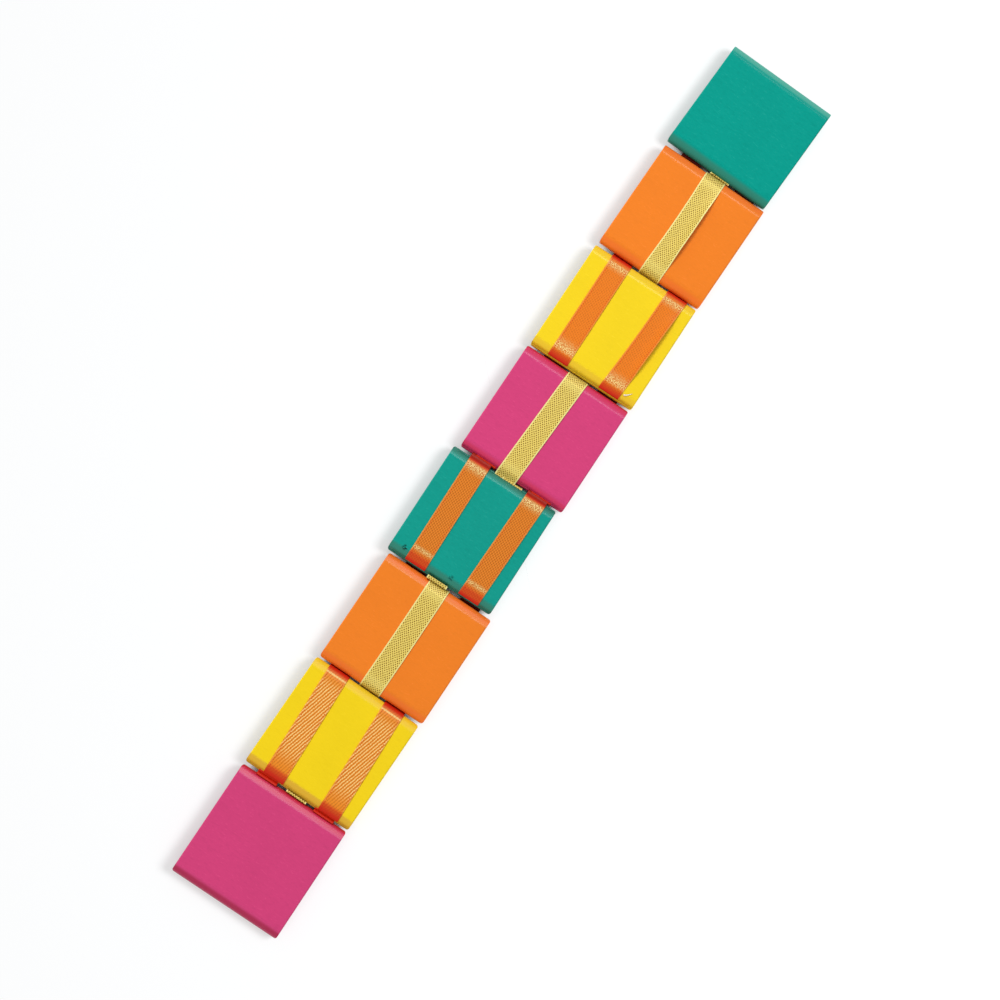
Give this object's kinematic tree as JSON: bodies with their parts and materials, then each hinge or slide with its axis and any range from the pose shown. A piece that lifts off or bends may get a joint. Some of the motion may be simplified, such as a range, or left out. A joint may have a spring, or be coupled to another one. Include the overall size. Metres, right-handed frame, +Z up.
{
  "type": "jacob's ladder toy",
  "caption": "Folding toy of painted wooden blocks in a row, tied by woven ribbons so that each block flips over its neighbour",
  "frame": {"origin": "middle of the ladder as it lies open and flat, on the surface it rests on", "axes": "+X along the ladder from block 1 to block 8, +Y across it towards the right ribbons, +Z up out of the front faces"},
  "size_m": [0.3731, 0.0476, 0.0079],
  "materials": {
    "green_paint": "satin paint over wood",
    "orange_paint": "satin paint over wood",
    "yellow_paint": "satin paint over wood",
    "pink_paint": "satin paint over wood",
    "gold_ribbon": "metallic woven ribbon",
    "orange_ribbon": "satin ribbon"
  },
  "bodies": {
    "rung_4": {"block_4": "pink_paint", "centre_ribbon_4": "gold_ribbon", "left_ribbon_3": "orange_ribbon", "right_ribbon_3": "orange_ribbon"},
    "rung_5": {"block_5": "green_paint", "centre_ribbon_5": "gold_ribbon", "left_ribbon_4": "orange_ribbon", "right_ribbon_4": "orange_ribbon"},
    "rung_6": {"block_6": "orange_paint", "centre_ribbon_6": "gold_ribbon", "left_ribbon_5": "orange_ribbon", "right_ribbon_5": "orange_ribbon"},
    "rung_7": {"block_7": "yellow_paint", "centre_ribbon_7": "gold_ribbon", "left_ribbon_6": "orange_ribbon", "right_ribbon_6": "orange_ribbon"},
    "rung_8": {"block_8": "pink_paint", "left_ribbon_7": "orange_ribbon", "right_ribbon_7": "orange_ribbon"},
    "rung_3": {"block_3": "yellow_paint", "centre_ribbon_3": "gold_ribbon", "left_ribbon_2": "orange_ribbon", "right_ribbon_2": "orange_ribbon"},
    "rung_2": {"block_2": "orange_paint", "centre_ribbon_2": "gold_ribbon", "left_ribbon_1": "orange_ribbon", "right_ribbon_1": "orange_ribbon"},
    "rung_1": {"block_1": "green_paint", "centre_ribbon_1": "gold_ribbon"}
  },
  "joints": [
    {"name": "fold_1", "type": "hinge", "parent": "rung_2", "child": "rung_1", "pos_m": [-0.13958, 0, 0.0001], "axis": [0, -1, 0], "range_deg": [0, 180]},
    {"name": "fold_2", "type": "hinge", "parent": "rung_3", "child": "rung_2", "pos_m": [-0.09276, 0, 0.0078], "axis": [0, 1, 0], "range_deg": [0, 180]},
    {"name": "fold_3", "type": "hinge", "parent": "rung_4", "child": "rung_3", "pos_m": [-0.04615, 0, 0.0001], "axis": [0, -1, 0], "range_deg": [0, 180]},
    {"name": "fold_4", "type": "hinge", "parent": "rung_4", "child": "rung_5", "pos_m": [0.00038, 0, 0.0078], "axis": [0, -1, 0], "range_deg": [0, 180]},
    {"name": "fold_5", "type": "hinge", "parent": "rung_5", "child": "rung_6", "pos_m": [0.047, 0, 0.0001], "axis": [0, 1, 0], "range_deg": [0, 180]},
    {"name": "fold_6", "type": "hinge", "parent": "rung_6", "child": "rung_7", "pos_m": [0.09361, 0, 0.0078], "axis": [0, -1, 0], "range_deg": [0, 180]},
    {"name": "fold_7", "type": "hinge", "parent": "rung_7", "child": "rung_8", "pos_m": [0.14019, 0, 0.0001], "axis": [0, 1, 0], "range_deg": [0, 180]}
  ]
}
